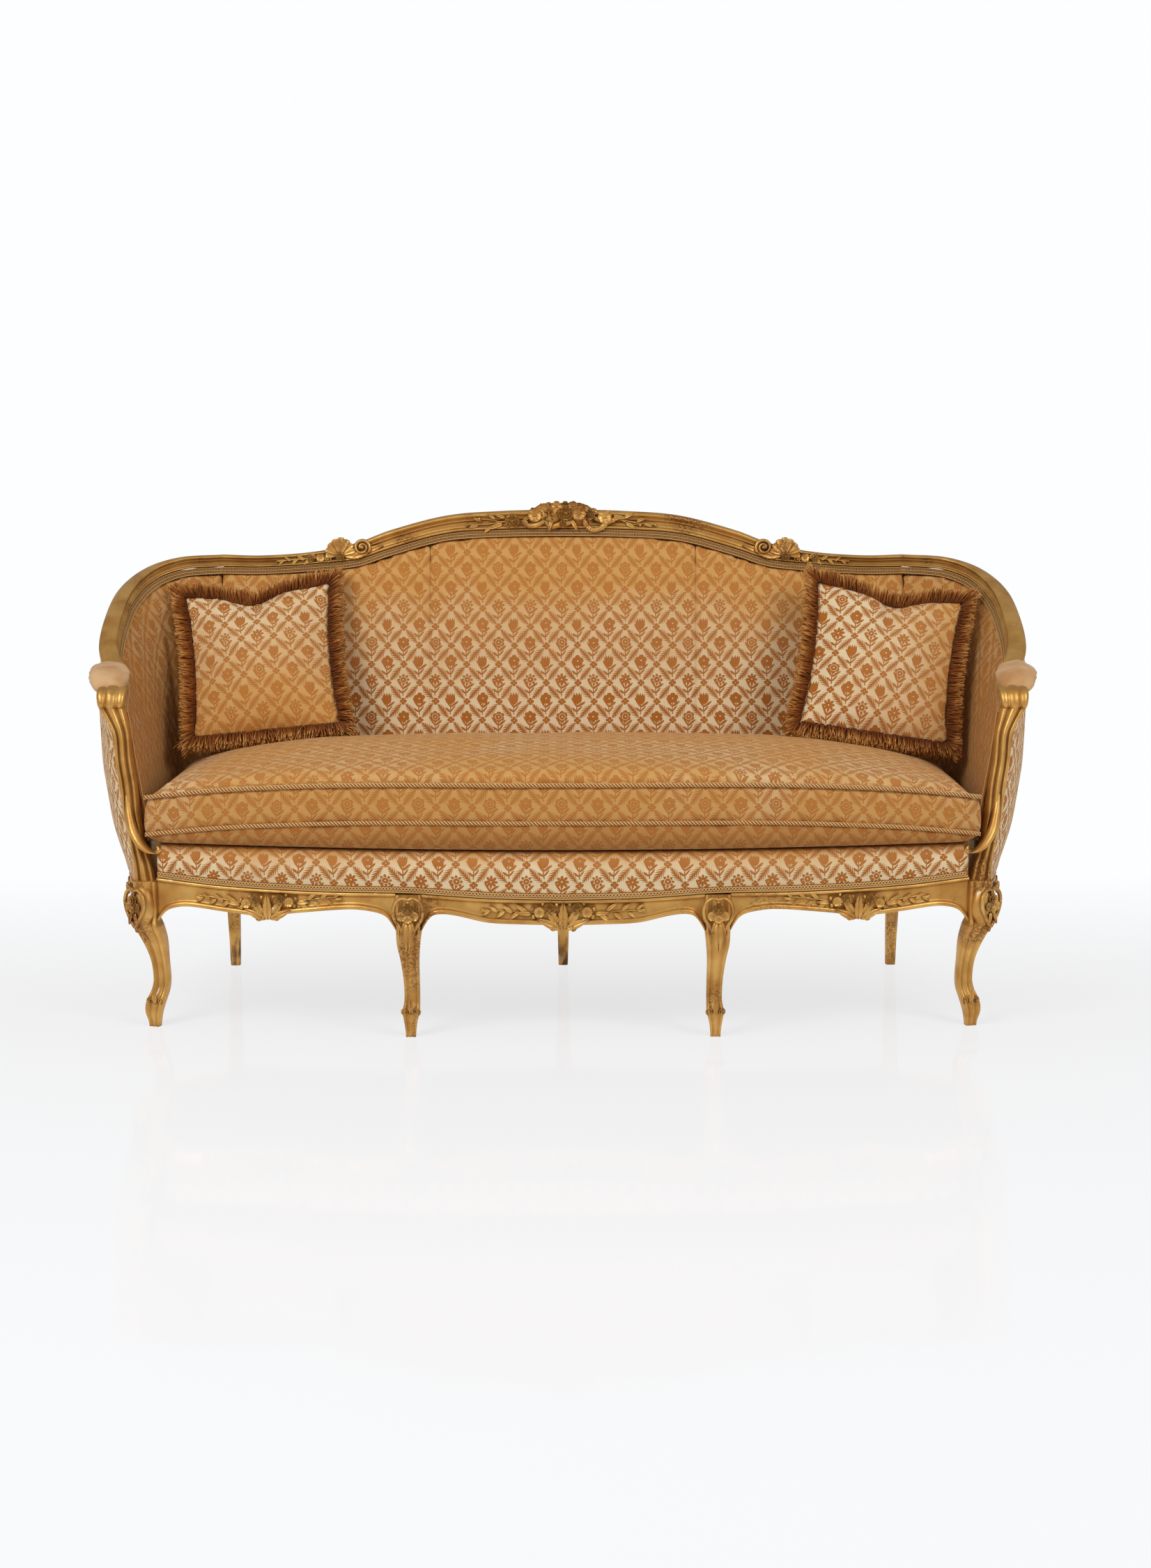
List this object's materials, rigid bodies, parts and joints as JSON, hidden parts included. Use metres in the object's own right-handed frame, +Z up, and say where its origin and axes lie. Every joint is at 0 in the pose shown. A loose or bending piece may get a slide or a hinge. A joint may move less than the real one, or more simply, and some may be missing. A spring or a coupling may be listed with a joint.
{
  "type": "cabriole sofa",
  "caption": "Carved gilt-wood sofa with cabriole legs, curved padded back and arms, loose seat cushion and fringed throw pillows",
  "frame": {"origin": "Centre of the bounding box on the floor plane under the feet.", "axes": "+X along the sofa to the viewer's right, +Z up, the front faces -Y."},
  "size_m": [1.9808, 0.8002, 1.0392],
  "materials": {
    "gilt_wood": "worn water gilding over red bole",
    "bare_beech": "bare wood",
    "jute_web": "plain woven",
    "figured_velvet": "voided cut velvet",
    "plain_velvet": "plain velvet",
    "deck_cloth": "plain woven",
    "gimp_braid": "looped braid",
    "twisted_cord": "twisted cord",
    "fringe_yarn": "cut brush fringe"
  },
  "bodies": {
    "frame": {"crest_rail": "gilt_wood", "front_rail_left": "gilt_wood", "front_rail_center": "gilt_wood", "front_rail_right": "gilt_wood", "rear_leg_center": "gilt_wood", "shoulder_rail_left": "gilt_wood", "shoulder_rail_right": "gilt_wood", "arm_rail_left": "gilt_wood", "arm_rail_right": "gilt_wood", "arm_support_left": "gilt_wood", "arm_support_right": "gilt_wood", "side_rail_left": "gilt_wood", "side_rail_right": "gilt_wood", "front_leg_outer_left": "gilt_wood", "front_leg_outer_right": "gilt_wood", "front_leg_inner_left": "gilt_wood", "front_leg_inner_right": "gilt_wood", "rear_leg_left": "gilt_wood", "rear_leg_right": "gilt_wood", "loose_tenons": "bare_beech", "rear_rail_left": "bare_beech", "rear_rail_right": "bare_beech", "back_lower_rail_left": "bare_beech", "back_lower_rail_right": "bare_beech", "seat_brace_left": "bare_beech", "seat_brace_right": "bare_beech", "seat_webbing_cross": "jute_web", "seat_webbing_long": "jute_web", "front_border": "figured_velvet", "back_pad_center": "figured_velvet", "back_cover": "figured_velvet", "back_pad_left": "figured_velvet", "back_pad_right": "figured_velvet", "arm_pad_left": "figured_velvet", "arm_pad_right": "figured_velvet", "arm_cover_left": "figured_velvet", "arm_cover_right": "figured_velvet", "armrest_pad_left": "plain_velvet", "armrest_pad_right": "plain_velvet", "seat_deck": "deck_cloth", "gimp_back": "gimp_braid", "gimp_front": "gimp_braid", "gimp_support_left": "gimp_braid", "gimp_support_right": "gimp_braid"},
    "seat_cushion": {"seat_cushion": "figured_velvet", "cushion_piping_upper": "twisted_cord", "cushion_piping_lower": "twisted_cord"},
    "pillow_left": {"pillow_left": "figured_velvet", "pillow_fringe_left": "fringe_yarn"},
    "pillow_right": {"pillow_right": "figured_velvet", "pillow_fringe_right": "fringe_yarn"}
  },
  "joints": [
    {"name": "seat_cushion_lift", "type": "slide", "parent": "frame", "child": "seat_cushion", "axis": [0, 0, 1], "range_m": [0, 0.45]},
    {"name": "pillow_left_lift", "type": "slide", "parent": "seat_cushion", "child": "pillow_left", "axis": [0, 0, 1], "range_m": [0, 0.35]},
    {"name": "pillow_right_lift", "type": "slide", "parent": "seat_cushion", "child": "pillow_right", "axis": [0, 0, 1], "range_m": [0, 0.35]}
  ]
}
